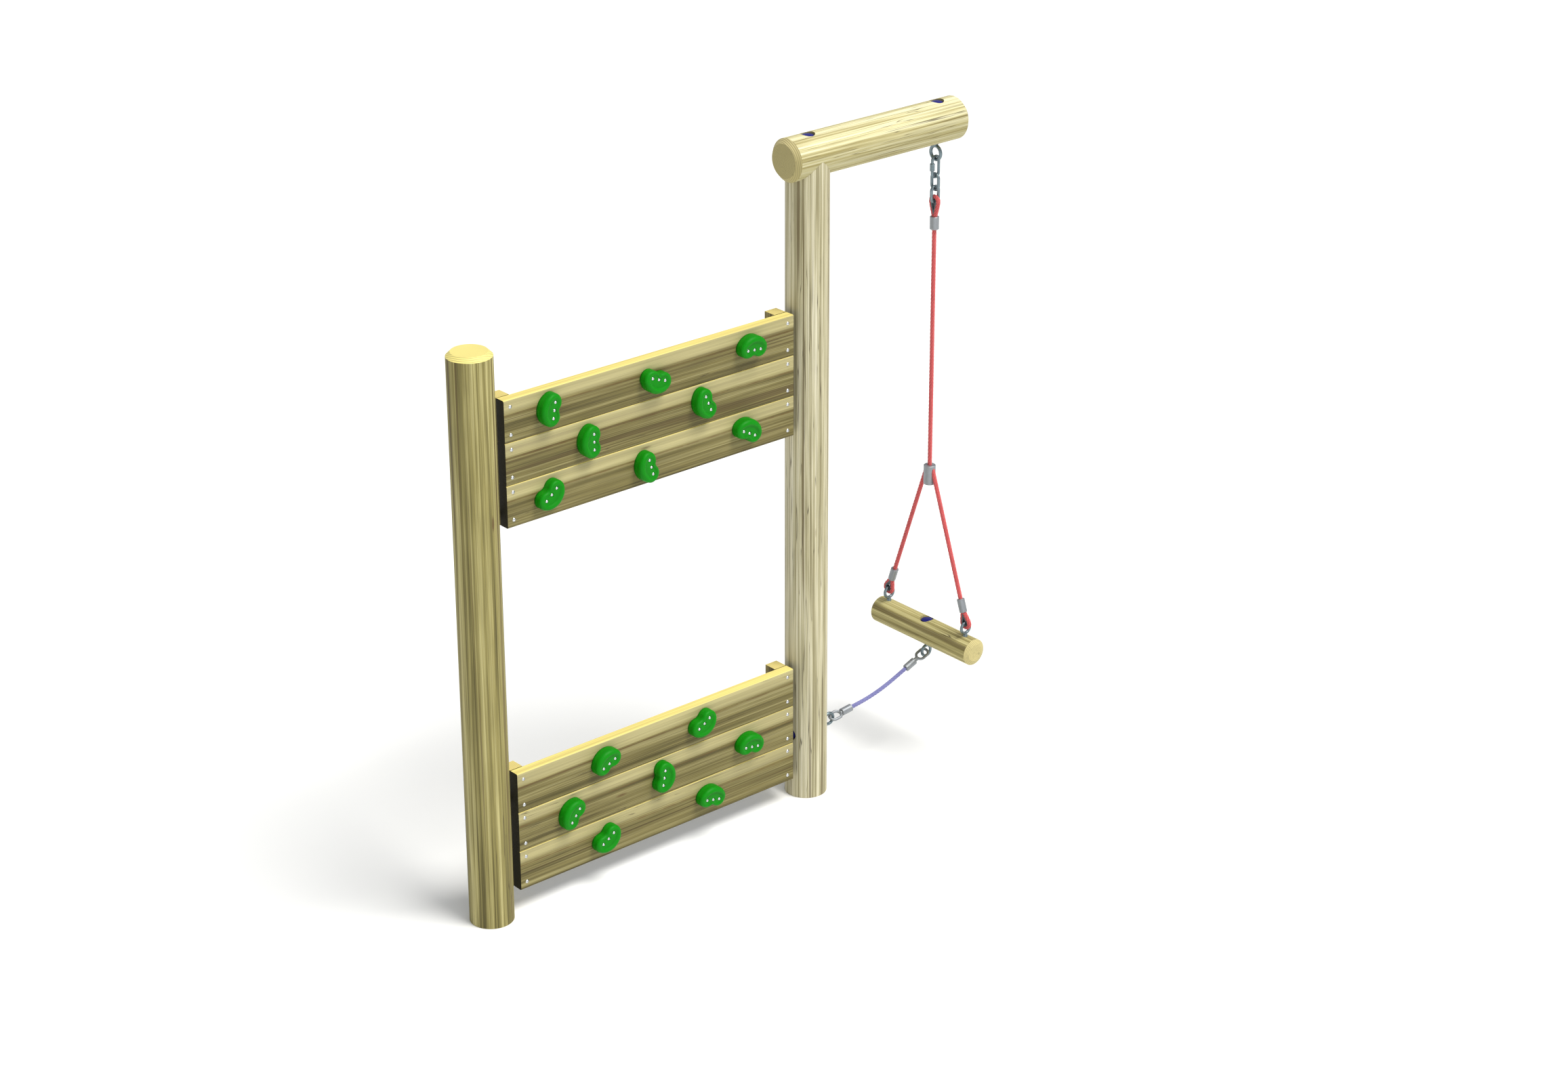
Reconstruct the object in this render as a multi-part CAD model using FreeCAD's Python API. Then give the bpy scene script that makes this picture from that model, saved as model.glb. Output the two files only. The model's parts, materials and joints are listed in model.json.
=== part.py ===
"""Traverse wall with a rope trapeze: two round timber posts, two plank panels with climbing holds
between them, and a cantilever beam that carries a trapeze bar on a chain and rope.

Millimetres. X runs along the wall from the short post to the tall post, Y points away from the
climbing face, Z is up. The origin is the centre of the tall post's foot, at ground level.
"""
import FreeCAD
import Part
import math
import os

V = FreeCAD.Vector
X_AXIS, Y_AXIS, Z_AXIS = V(1, 0, 0), V(0, 1, 0), V(0, 0, 1)
os.makedirs("parts", exist_ok=True)

# ---- driving dimensions ------------------------------------------------------------------------
POST_D = 150.0
POST_SPACING = 1390.0
SHORT_POST_H = 2016.0
POST_TOP_BEVEL = 15.0

BEAM_D = 150.0
BEAM_AXIS_Z = 2360.0
BEAM_X = (-104.0, 678.0)
BEAM_BEVEL = 16.0

PLANK_L, PLANK_W, PLANK_T = 1200.0, 145.0, 40.0
PLANK_EDGE_R = 5.0
PLANKS_PER_PANEL = 3
PANEL_FRONT_Y = -40.0
UPPER_PANEL_Z, LOWER_PANEL_Z = 1400.0, 85.0
BATTEN = 50.0
SCREW_EDGE = 25.0

RECESS_D, RECESS_DEPTH = 50.0, 26.0
M12_R, M12_NUT_AF, M12_NUT_H, M12_WASHER_R, M12_WASHER_T = 6.0, 19.0, 10.0, 18.0, 3.0
HOLE_CLEARANCE = 0.5
PANEL_BOLT_Z = (1432.0, 409.0)
PANEL_BOLT_HEAD_R, PANEL_BOLT_HEAD_H, PANEL_SCREW_DEPTH = 14.0, 7.0, 90.0
NUT_STANDS_BACK = 8.0
SPACER_R = 12.5
PLANK_SCREW_R, PLANK_SCREW_L, PLANK_SCREW_HEAD_R, PLANK_SCREW_HEAD_H = 3.0, 55.0, 6.5, 3.5
SOCKET_R = 2.4
COACH_SHANK_R, COACH_THREAD_R, COACH_TIP_Z, COACH_HEAD_AF, COACH_HEAD_H = 8.0, 6.0, 2154.0, 24.0, 10.0
SADDLE_CLEARANCE, POST_SEAM_TURN = 0.5, 45.0
CAP_R, CAP_H, CAP_WALL, CAP_DOME = 20.0, 17.0, 2.5, 4.0

ROPE_D = 16.0
HANG_X = 583.0
TRAPEZE_BAR_Z, TRAPEZE_BAR_D, TRAPEZE_BAR_L = 445.0, 98.0, 510.0
BAR_BEVEL_AXIAL, BAR_BEVEL_RADIAL = 10.0, 18.0
BAR_EYE_Y = 202.0
EYE_RING_R, EYE_WIRE_R, EYE_STANDOFF = 20.5, 5.5, 33.0
BEAM_EYE_RING_R, BEAM_EYE_WIRE_R, BEAM_EYE_Z, BEAM_EYE_SHANK_R = 24.0, 6.0, 2250.0, 8.0
M16_NUT_AF = 24.0

QUICK_LINK_WIRE_R, QUICK_LINK_LEG_X, QUICK_LINK_PITCH = 5.0, 15.0, 74.0
CHAIN_WIRE_R, CHAIN_LEG, CHAIN_PITCH = 5.5, 16.5, 56.0
LINK_GAP = 0.4
SLEEVE_R, SLEEVE_L = 8.5, 27.0
# The quick link's gap, below the middle of its leg, so that the sleeve uncovers it as it goes up.
QUICK_LINK_GAP = (-12.0, -4.0)

THIMBLE_HOLE_R, THIMBLE_WEB, THIMBLE_W = 8.5, 2.0, 14.0
TOP_FERRULE_D, TOP_FERRULE_L, TOP_THROAT = 32.0, 46.0, 60.0
LEG_FERRULE_D, LEG_FERRULE_L, LEG_THROAT = 28.0, 50.0, 46.0
FERRULE_ABOVE_THROAT = 8.0
Y_FERRULE_D, Y_FERRULE_Z = 43.0, (1024.0, 1096.0)
LEGS_MEET_Z, LEG_TOP_Z, MAIN_ROPE_END_Z = 1126.0, 1084.0, 1085.0

POST_EYE_Z = 243.0
TETHER_LOOP_L, TETHER_LOOP_W, TETHER_WIRE_R, TETHER_ROLL = 58.0, 42.0, 5.0, 20.0
TETHER_LOWER_GAP, TETHER_UPPER_SLACK = 1.5, 2.0
TETHER_FERRULE_D, TETHER_FERRULE_L = 27.0, 54.0
TETHER_ROPE_R = 7.5
# The tether's rope is two rods that fold at a ball, and a second ball sits in the lower ferrule's mouth.
BALL_CLEARANCE, FOLD_CLEARANCE = 0.3, 1.0
# The tether's route, chosen by hand: x, z between the two ferrule mouths.
TETHER_ROUTE = [(216, 252.5), (262, 257.5), (308, 265.0), (352, 275.3), (396, 289.0), (440, 305.5),
                (481, 322.0)]
TETHER_FOLD_AT = 3

HOLD_W, HOLD_H = 76.0, 40.0
HOLD_LOBE_R, HOLD_LOBE_U, HOLD_NOTCH_DEPTH = 31.0, 25.0, 6.0
HOLD_EDGE_R = 13.0
HOLD_SCREW_PITCH, HOLD_SCREW_V = 27.0, 4.0
HOLD_SCREW_R, HOLD_SCREW_L, HOLD_SCREW_HEAD_R, HOLD_SCREW_HEAD_H, HOLD_SCREW_SUNK = 2.5, 60.0, 5.5, 3.0, 6.0
# x from the middle of the panel, z from the panel's bottom edge, and the notch's direction in degrees
UPPER_HOLDS = [(-430, 369, -10), (-4, 361, 70), (403, 371, -95), (-275, 219, 0), (200, 228, 22),
               (-444, 82, 130), (-44, 68, 15), (381, 80, -117)]
LOWER_HOLDS = [(-243, 368, -65), (174, 373, 122), (-390, 221, -38), (-3, 227, 170), (385, 218, -98),
               (-250, 79, 123), (208, 73, -102)]

# ---- worked-out dimensions ---------------------------------------------------------------------
POST_R, BEAM_R, BAR_R, ROPE_R = POST_D / 2, BEAM_D / 2, TRAPEZE_BAR_D / 2, ROPE_D / 2
PANEL_H = PLANKS_PER_PANEL * PLANK_W
PANEL_MID_X = -POST_SPACING / 2
PANEL_X = (PANEL_MID_X - PLANK_L / 2, PANEL_MID_X + PLANK_L / 2)
PANEL_BACK_Y = PANEL_FRONT_Y + PLANK_T
BATTEN_Y = PANEL_BACK_Y + BATTEN / 2
BATTEN_X = (PANEL_X[0] + BATTEN / 2, PANEL_X[1] - BATTEN / 2)
POST_X = {"short": -POST_SPACING, "tall": 0.0}
LOOP_R = THIMBLE_HOLE_R + THIMBLE_WEB + ROPE_R
BEAM_TOP_Z = BEAM_AXIS_Z + BEAM_R
BEAM_SEAT_Z = BEAM_TOP_Z - RECESS_DEPTH
PANEL_BOLT_SEAT = POST_R - RECESS_DEPTH - NUT_STANDS_BACK
QUICK_LINK_TOP_Z = BEAM_EYE_Z - BEAM_EYE_RING_R + BEAM_EYE_WIRE_R + QUICK_LINK_WIRE_R + LINK_GAP
QUICK_LINK_BOTTOM_Z = QUICK_LINK_TOP_Z - QUICK_LINK_PITCH
CHAIN_UPPER_TOP_Z = QUICK_LINK_BOTTOM_Z + QUICK_LINK_WIRE_R + CHAIN_WIRE_R + LINK_GAP
CHAIN_UPPER_BOTTOM_Z = CHAIN_UPPER_TOP_Z - CHAIN_PITCH
CHAIN_LOWER_TOP_Z = CHAIN_UPPER_BOTTOM_Z + 2 * CHAIN_WIRE_R + LINK_GAP
CHAIN_LOWER_BOTTOM_Z = CHAIN_LOWER_TOP_Z - CHAIN_PITCH
TOP_CROWN_Z = CHAIN_LOWER_BOTTOM_Z + 0.2
LEG_EYE_Z = TRAPEZE_BAR_Z + BAR_R + EYE_STANDOFF + EYE_RING_R
LEG_SLOPE = math.atan2(BAR_EYE_Y, LEGS_MEET_Z - LEG_EYE_Z)
POST_EYE_X = POST_R + EYE_STANDOFF
BAR_LOWER_EYE_Z = TRAPEZE_BAR_Z - BAR_R - EYE_STANDOFF


# ---- general shapes ----------------------------------------------------------------------------
def rod(start, end, radius):
    """A round bar between two points."""
    return Part.makeCylinder(radius, (end - start).Length, start, end - start)


def bevelled_rod(start, end, radius, axial, radial, both=True):
    """A round bar whose ends are bevelled by axial along it and by radial across it."""
    length = (end - start).Length
    first = (0, radius - radial) if both else (0, radius)
    points = [V(0, 0, 0), V(first[1], 0, 0)]
    if both:
        points.append(V(radius, 0, axial))
    points += [V(radius, 0, length - axial), V(radius - radial, 0, length), V(0, 0, length), V(0, 0, 0)]
    shape = Part.Face(Part.makePolygon(points)).revolve(V(0, 0, 0), Z_AXIS, 360)
    shape.Placement = FreeCAD.Placement(start, FreeCAD.Rotation(Z_AXIS, end - start))
    return shape


def hexagon(centre, direction, across_flats, height):
    """A hexagonal prism that starts at centre and rises along direction."""
    corner = across_flats / math.sqrt(3)
    points = [V(corner * math.cos(math.radians(60 * k)), corner * math.sin(math.radians(60 * k)), 0)
              for k in range(7)]
    prism = Part.Face(Part.makePolygon(points)).extrude(V(0, 0, height))
    prism.Placement = FreeCAD.Placement(centre, FreeCAD.Rotation(Z_AXIS, direction))
    return prism


def ring(centre, normal, radius, wire_r):
    return Part.makeTorus(radius, wire_r, centre, normal)


def oval_ring(centre, along, across, pitch, leg, wire_r):
    """A chain link: two straight legs joined by half rings, pitch long between the half rings' middles
    of wire, with its legs at plus and minus leg across."""
    normal = along.cross(across)
    half = pitch / 2 - leg
    pieces = []
    for side in (1, -1):
        pieces.append(rod(centre + across * (side * leg) - along * half,
                          centre + across * (side * leg) + along * half, wire_r))
        middle = centre + along * (side * half)
        section = Part.Face(Part.Wire(Part.makeCircle(wire_r, middle + across * leg, along)))
        pieces.append(section.revolve(middle, normal, -180.0 * side))
    return pieces[0].multiFuse(pieces[1:]).removeSplitter()


def write(node, *solids):
    """Writes one node, as a group of separate solids where it has several."""
    shape = solids[0] if len(solids) == 1 else Part.makeCompound(list(solids))
    if len(shape.Solids) != len(solids) or not shape.isValid():
        print("CHECK", node, len(shape.Solids), "solids of", len(solids), "valid", shape.isValid())
    shape.exportStep("parts/%s.step" % node)


def fuse(first, *others):
    return first.multiFuse(list(others)).removeSplitter()


# ---- timber ------------------------------------------------------------------------------------
def panel_bolt_holes(post):
    """Holes for the panels' fixings: through the tall post to a recess, and blind in the short one."""
    shapes = []
    for z in PANEL_BOLT_Z:
        axis = V(POST_X[post], BATTEN_Y, z)
        if post == "short":
            mouth = axis + X_AXIS * POST_R
            shapes.append(rod(mouth, mouth - X_AXIS * PANEL_SCREW_DEPTH, M12_R + HOLE_CLEARANCE))
        else:
            seat = axis + X_AXIS * PANEL_BOLT_SEAT
            shapes.append(rod(axis - X_AXIS * POST_R, axis + X_AXIS * POST_R, M12_R + HOLE_CLEARANCE))
            shapes.append(rod(seat, seat + X_AXIS * POST_R, RECESS_D / 2))
    return shapes


def short_post():
    post = bevelled_rod(V(POST_X["short"], 0, 0), V(POST_X["short"], 0, SHORT_POST_H), POST_R,
                        POST_TOP_BEVEL, POST_TOP_BEVEL, both=False)
    return post.cut(panel_bolt_holes("short"))


def tall_post():
    """The tall post's head is cut to a saddle as deep as half the beam, which lies in it."""
    post = rod(V(0, 0, 0), V(0, 0, BEAM_AXIS_Z), POST_R)
    post.rotate(V(0, 0, 0), Z_AXIS, POST_SEAM_TURN)
    cuts = panel_bolt_holes("tall")
    saddle_z = BEAM_AXIS_Z + SADDLE_CLEARANCE
    cuts.append(rod(V(-POST_D, 0, saddle_z), V(POST_D, 0, saddle_z), BEAM_R + SADDLE_CLEARANCE))
    cuts.append(rod(V(0, 0, COACH_TIP_Z - 1), V(0, 0, BEAM_AXIS_Z), COACH_THREAD_R + HOLE_CLEARANCE))
    cuts.append(rod(V(-POST_R, 0, POST_EYE_Z), V(POST_R, 0, POST_EYE_Z), M12_R + HOLE_CLEARANCE))
    cuts.append(rod(V(-POST_D, 0, POST_EYE_Z), V(-POST_R + RECESS_DEPTH, 0, POST_EYE_Z), RECESS_D / 2))
    return post.cut(cuts)




def cross_beam():
    beam = bevelled_rod(V(BEAM_X[0], 0, BEAM_AXIS_Z), V(BEAM_X[1], 0, BEAM_AXIS_Z), BEAM_R,
                        BEAM_BEVEL, BEAM_BEVEL)
    cuts = []
    for x, shank in ((0.0, COACH_SHANK_R), (HANG_X, BEAM_EYE_SHANK_R)):
        cuts.append(rod(V(x, 0, BEAM_AXIS_Z - BEAM_R - 1), V(x, 0, BEAM_TOP_Z + 1), shank + HOLE_CLEARANCE))
        cuts.append(rod(V(x, 0, BEAM_SEAT_Z), V(x, 0, BEAM_TOP_Z + 1), RECESS_D / 2))
    return beam.cut(cuts)


def plank(bottom_z, screw_holes):
    blank = Part.makeBox(PLANK_L, PLANK_T, PLANK_W, V(PANEL_X[0], PANEL_FRONT_Y, bottom_z))
    long_edges = [e for e in blank.Edges if abs(e.tangentAt(e.FirstParameter).x) > 0.99]
    blank = blank.makeFillet(PLANK_EDGE_R, long_edges)
    near = [h for h in screw_holes if blank.BoundBox.intersect(h.BoundBox)]
    return blank.cut(near)


def batten(x, bottom_z):
    post_side = -1 if x < PANEL_MID_X else 1
    block = Part.makeBox(BATTEN, BATTEN, PANEL_H, V(x - BATTEN / 2, PANEL_BACK_Y, bottom_z))
    cuts = []
    for z in PANEL_BOLT_Z:
        if bottom_z < z < bottom_z + PANEL_H:
            axis = V(x, BATTEN_Y, z)
            cuts.append(rod(axis - X_AXIS * (BATTEN * post_side), axis + X_AXIS * (BATTEN * post_side),
                            M12_R + HOLE_CLEARANCE))
    for seat in plank_screw_seats(bottom_z):
        if abs(seat.x - x) < BATTEN:
            cuts.append(plank_screw_hole(seat))
    return block.cut(cuts)


# ---- panel hardware ----------------------------------------------------------------------------



def plank_screw_seats(bottom_z):
    """Where the heads of one panel's plank screws meet the front face."""
    seats = []
    for x in BATTEN_X:
        for k in range(PLANKS_PER_PANEL):
            for z in (SCREW_EDGE, PLANK_W - SCREW_EDGE):
                seats.append(V(x, PANEL_FRONT_Y, bottom_z + k * PLANK_W + z))
    return seats


def plank_screw_hole(seat):
    return rod(seat - Y_AXIS * 1, seat + Y_AXIS * (PLANK_SCREW_L + 1), PLANK_SCREW_R + 0.1)


def button_head(seat, outward, radius, height):
    """A shallow domed screw head with a round socket in it."""
    sphere_r = (radius ** 2 + height ** 2) / (2 * height)
    head = Part.makeSphere(sphere_r, seat - outward * (sphere_r - height))
    head = head.common(rod(seat, seat + outward * (height + 1), radius + 1))
    return head.cut(rod(seat + outward * (height * 0.4), seat + outward * (height + 1), SOCKET_R))


def plank_screw(seat):
    shank = rod(seat, seat + Y_AXIS * PLANK_SCREW_L, PLANK_SCREW_R)
    return fuse(shank, button_head(seat, -Y_AXIS, PLANK_SCREW_HEAD_R, PLANK_SCREW_HEAD_H))


def panel_fixing(head, outward, tip):
    """A round-headed bolt or coach screw. outward points from its head along its shank."""
    dome_r = PANEL_BOLT_HEAD_R * 1.1
    dome = Part.makeSphere(dome_r, head + outward * (dome_r - PANEL_BOLT_HEAD_H))
    dome = dome.common(rod(head - outward * PANEL_BOLT_HEAD_H, head, PANEL_BOLT_HEAD_R))
    return fuse(dome, rod(head, tip, M12_R))


def panel_bolts():
    """Bolts through the tall post, coach screws into the short one, spacers, washers and nuts."""
    bolts, spacers, washers, nuts = [], [], [], []
    for post, outward in (("short", -X_AXIS), ("tall", X_AXIS)):
        batten_x = BATTEN_X[0] if post == "short" else BATTEN_X[1]
        for z in PANEL_BOLT_Z:
            head = V(batten_x, BATTEN_Y, z) - outward * (BATTEN / 2)
            post_axis = V(POST_X[post], BATTEN_Y, z)
            seat = post_axis + outward * PANEL_BOLT_SEAT
            if post == "short":
                tip = post_axis - outward * (POST_R - PANEL_SCREW_DEPTH + 1)
            else:
                tip = seat + outward * (M12_WASHER_T + M12_NUT_H + 4)
                washers.append(washer(seat, outward, M12_R + 0.1))
                nuts.append(nut(seat + outward * M12_WASHER_T, outward, M12_NUT_AF, M12_NUT_H, M12_R))
            bolts.append(panel_fixing(head, outward, tip))
            spacer_start = head + outward * BATTEN
            spacer = rod(spacer_start, post_axis, SPACER_R).cut(
                [rod(spacer_start - outward, post_axis, M12_R + HOLE_CLEARANCE),
                 rod(V(POST_X[post], 0, z - 40), V(POST_X[post], 0, z + 40), POST_R)])
            spacers.append(spacer)
    return bolts, spacers, washers, nuts


# ---- climbing holds ----------------------------------------------------------------------------


def hold_placement(centre, angle):
    """Moves a hold into place from the origin, with its notch turned to face the angle."""
    return FreeCAD.Placement(centre, FreeCAD.Rotation(-Y_AXIS, angle - 90))

def hold_outline():
    """A bean: two round lobes, a long curve round the bottom and a shallow notch, all tangent."""
    lobe, u0, deep = HOLD_LOBE_R, HOLD_LOBE_U, HOLD_NOTCH_DEPTH
    notch_r = ((lobe - deep) ** 2 + u0 ** 2 - lobe ** 2) / (2 * deep)
    notch_v = notch_r + lobe - deep
    drop = HOLD_W - lobe
    back_v = (u0 ** 2 - (drop - lobe) ** 2) / (2 * (drop - lobe))
    to_notch = V(-u0, 0, notch_v).normalize() * lobe + V(u0, 0, 0)
    to_back = V(u0, 0, -back_v).normalize() * lobe + V(u0, 0, 0)
    def mirrored(point):
        return V(-point.x, 0, point.z)
    lobe_end = V(u0 + lobe, 0, 0)
    return Part.Wire([
        Part.Arc(mirrored(to_notch), V(0, 0, lobe - deep), to_notch).toShape(),
        Part.Arc(to_notch, lobe_end, to_back).toShape(),
        Part.Arc(to_back, V(0, 0, -drop), mirrored(to_back)).toShape(),
        Part.Arc(mirrored(to_back), mirrored(lobe_end), mirrored(to_notch)).toShape(),
    ])

def hold_screw_seats(centre, angle):
    place = hold_placement(centre, angle)
    return [place.multVec(V(k * HOLD_SCREW_PITCH, 0, HOLD_SCREW_V)) for k in (-1, 0, 1)]

def climbing_hold():
    """One hold on its back at the origin, with its notch up and its front towards -Y."""
    body = Part.Face(hold_outline()).extrude(V(0, -HOLD_H, 0))
    front = [e for e in body.Edges if abs(e.CenterOfMass.y + HOLD_H) < 0.01]
    body = body.makeFillet(HOLD_EDGE_R, front)
    cuts = []
    for seat in hold_screw_seats(V(0, 0, 0), 90):
        face = seat - Y_AXIS * HOLD_H
        sunk = face + Y_AXIS * (HOLD_SCREW_SUNK + HOLD_SCREW_HEAD_H)
        cuts.append(rod(face - Y_AXIS, sunk, HOLD_SCREW_HEAD_R + 0.6))
        cuts.append(rod(face, seat + Y_AXIS, HOLD_SCREW_R + 0.2))
    return body.cut(cuts)

def hold_screw(seat):
    head = seat - Y_AXIS * (HOLD_H - HOLD_SCREW_SUNK - HOLD_SCREW_HEAD_H)
    shank = rod(head, head + Y_AXIS * HOLD_SCREW_L, HOLD_SCREW_R)
    return fuse(shank, button_head(head, -Y_AXIS, HOLD_SCREW_HEAD_R, HOLD_SCREW_HEAD_H))


def hold_screw_hole(seat):
    depth = HOLD_SCREW_L - (HOLD_H - HOLD_SCREW_SUNK - HOLD_SCREW_HEAD_H)
    return rod(seat - Y_AXIS, seat + Y_AXIS * (depth + 1), HOLD_SCREW_R + 0.1)


# ---- eye bolts, nuts and caps ------------------------------------------------------------------
def eye_bolt(ring_centre, outward, ring_normal, shank_length, ring_r, wire_r, shank_r, standoff):
    """An eye on a shank. outward points from the wood to the eye."""
    shoulder_r = shank_r + 3
    face = ring_centre - outward * standoff
    eye = ring(ring_centre, ring_normal, ring_r, wire_r)
    neck = Part.makeCone(shoulder_r, wire_r, standoff - ring_r, face, outward)
    return fuse(eye, neck, rod(face - outward * shank_length, face, shank_r))


def washer(seat, outward, hole_r):
    return rod(seat, seat + outward * M12_WASHER_T, M12_WASHER_R).cut(
        rod(seat - outward, seat + outward * 10, hole_r))


def nut(seat, outward, across_flats, height, thread_r):
    return hexagon(seat, outward, across_flats, height).cut(
        rod(seat - outward, seat + outward * (height + 1), thread_r + 0.05))




def recess_cap(seat, outward):
    """A plastic cap over a nut, with a slightly domed top."""
    sphere_r = (CAP_R ** 2 + CAP_DOME ** 2) / (2 * CAP_DOME)
    top = seat + outward * (CAP_H + CAP_DOME)
    dome = Part.makeSphere(sphere_r, top - outward * sphere_r)
    body = rod(seat, top, CAP_R).common(dome)
    return body.cut(rod(seat - outward, seat + outward * (CAP_H - CAP_WALL), CAP_R - CAP_WALL))


# ---- chain -------------------------------------------------------------------------------------
def quick_link():
    """An oval steel link with a gap in the leg that the sleeve nut bridges."""
    middle = V(HANG_X, 0, (QUICK_LINK_TOP_Z + QUICK_LINK_BOTTOM_Z) / 2)
    link = oval_ring(middle, Z_AXIS, X_AXIS, QUICK_LINK_PITCH, QUICK_LINK_LEG_X, QUICK_LINK_WIRE_R)
    leg = middle - X_AXIS * QUICK_LINK_LEG_X
    low, high = (leg + Z_AXIS * z for z in QUICK_LINK_GAP)
    return link.cut(rod(low, high, QUICK_LINK_WIRE_R + 2))


def quick_link_sleeve():
    middle = V(HANG_X - QUICK_LINK_LEG_X, 0, (QUICK_LINK_TOP_Z + QUICK_LINK_BOTTOM_Z) / 2)
    bottom = middle - Z_AXIS * (SLEEVE_L / 2)
    body = hexagon(bottom, Z_AXIS, 2 * SLEEVE_R - 1, SLEEVE_L)
    body = body.common(bevelled_rod(bottom, bottom + Z_AXIS * SLEEVE_L, SLEEVE_R, 1.5, 1.5))
    return body.cut(rod(bottom - Z_AXIS, bottom + Z_AXIS * (SLEEVE_L + 1), QUICK_LINK_WIRE_R + 0.06))


# ---- trapeze rope ------------------------------------------------------------------------------
def teardrop(centre, away, side, radius, tip):
    """A teardrop outline round centre: an arc of that radius and two tangents to a tip, away from centre."""
    lean = math.asin(radius / tip)
    touch = [centre + away * (radius * math.sin(lean)) + side * (s * radius * math.cos(lean))
             for s in (1, -1)]
    arc = Part.Arc(touch[0], centre - away * radius, touch[1]).toShape()
    point = centre + away * tip
    return touch, arc, point


def rope_loop(centre, away, side, throat):
    """The rope's loop round a thimble, closed at its throat."""
    touch, arc, point = teardrop(centre, away, side, LOOP_R, throat)
    section = Part.Face(Part.Wire(Part.makeCircle(ROPE_R, touch[0], arc.tangentAt(arc.FirstParameter))))
    normal = away.cross(side)
    turn = 180 + 2 * math.degrees(math.asin(LOOP_R / throat))
    crown = section.revolve(centre, normal, turn)
    return [crown, rod(touch[0], point, ROPE_R), rod(touch[1], point, ROPE_R)]


def thimble(centre, away, side, throat, rope):
    """A grooved metal liner inside a rope's loop."""
    across = away.cross(side) * THIMBLE_W
    plates = []
    for radius, tip in ((LOOP_R - 1.5, throat * 0.80), (THIMBLE_HOLE_R, throat * 0.52)):
        touch, arc, point = teardrop(centre, away, side, radius, tip)
        sides = [Part.makeLine(end, point) for end in touch]
        outline = Part.Wire(Part.__sortEdges__([arc] + sides))
        face = Part.Face(outline)
        face.translate(across * -0.5)
        plates.append(face.extrude(across))
    return plates[0].cut(plates[1]).cut(rope)


def ferrule(start, end, diameter, holds):
    body = bevelled_rod(start, end, diameter / 2, 1.5, 1.5)
    return body.cut(holds)


def leg_geometry(side_sign):
    """Direction up a leg, the direction across it, and the centre of its lower thimble."""
    up = V(0, -side_sign * math.sin(LEG_SLOPE), math.cos(LEG_SLOPE))
    across = V(0, math.cos(LEG_SLOPE), side_sign * math.sin(LEG_SLOPE))
    centre = V(HANG_X, side_sign * BAR_EYE_Y, LEG_EYE_Z) + up * 0.6
    return up, across, centre


def top_rope():
    crown = V(HANG_X, 0, TOP_CROWN_Z)
    throat = crown - Z_AXIS * TOP_THROAT
    loop = rope_loop(crown, -Z_AXIS, Y_AXIS, TOP_THROAT)
    rope = fuse(rod(V(HANG_X, 0, MAIN_ROPE_END_Z), throat, ROPE_R), *loop)
    ferrule_top = throat + Z_AXIS * FERRULE_ABOVE_THROAT
    liner = thimble(crown, -Z_AXIS, Y_AXIS, TOP_THROAT, rope)
    clamp = ferrule(ferrule_top - Z_AXIS * TOP_FERRULE_L, ferrule_top, TOP_FERRULE_D, rope)
    return rope, liner.cut(clamp), clamp


def leg_rope(side_sign):
    up, across, centre = leg_geometry(side_sign)
    throat = centre + up * LEG_THROAT
    top = throat + up * ((LEG_TOP_Z + 10 - throat.z) / up.z)
    loop = rope_loop(centre, up, across, LEG_THROAT)
    above = Part.makeBox(400, 400, 100, V(HANG_X - 200, -200, LEG_TOP_Z))
    rope = fuse(rod(throat, top, ROPE_R), *loop).cut(above)
    ferrule_bottom = throat - up * FERRULE_ABOVE_THROAT
    liner = thimble(centre, up, across, LEG_THROAT, rope)
    clamp = ferrule(ferrule_bottom, ferrule_bottom + up * LEG_FERRULE_L, LEG_FERRULE_D, rope)
    return rope, liner.cut(clamp), clamp


# ---- trapeze bar -------------------------------------------------------------------------------
def trapeze_bar():
    bar = bevelled_rod(V(HANG_X, -TRAPEZE_BAR_L / 2, TRAPEZE_BAR_Z),
                       V(HANG_X, TRAPEZE_BAR_L / 2, TRAPEZE_BAR_Z),
                       BAR_R, BAR_BEVEL_AXIAL, BAR_BEVEL_RADIAL)
    cuts = []
    for y, nut_side in ((-BAR_EYE_Y, -1), (0.0, 1), (BAR_EYE_Y, -1)):
        axis = V(HANG_X, y, TRAPEZE_BAR_Z)
        cuts.append(rod(axis - Z_AXIS * BAR_R, axis + Z_AXIS * BAR_R, M12_R + HOLE_CLEARANCE))
        seat = axis + Z_AXIS * (nut_side * (BAR_R - RECESS_DEPTH))
        cuts.append(rod(seat, seat + Z_AXIS * (nut_side * BAR_R), RECESS_D / 2))
    return bar.cut(cuts)


def bar_hardware():
    """The bar's eye bolts: two point up to the rope, the middle one down to the tether."""
    bolts, washers, nuts = [], [], []
    for y, eye_side in ((-BAR_EYE_Y, 1), (0.0, -1), (BAR_EYE_Y, 1)):
        outward = Z_AXIS * eye_side
        centre = V(HANG_X, y, TRAPEZE_BAR_Z) + outward * (BAR_R + EYE_STANDOFF)
        seat = V(HANG_X, y, TRAPEZE_BAR_Z) - outward * (BAR_R - RECESS_DEPTH)
        shank = 2 * BAR_R - RECESS_DEPTH + M12_WASHER_T + M12_NUT_H + 2
        bolts.append(eye_bolt(centre, outward, Y_AXIS, shank, EYE_RING_R, EYE_WIRE_R, M12_R, EYE_STANDOFF))
        washers.append(washer(seat, -outward, M12_R + 0.1))
        nuts.append(nut(seat - outward * M12_WASHER_T, -outward, M12_NUT_AF, M12_NUT_H, M12_R))
    return bolts, washers, nuts


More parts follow.
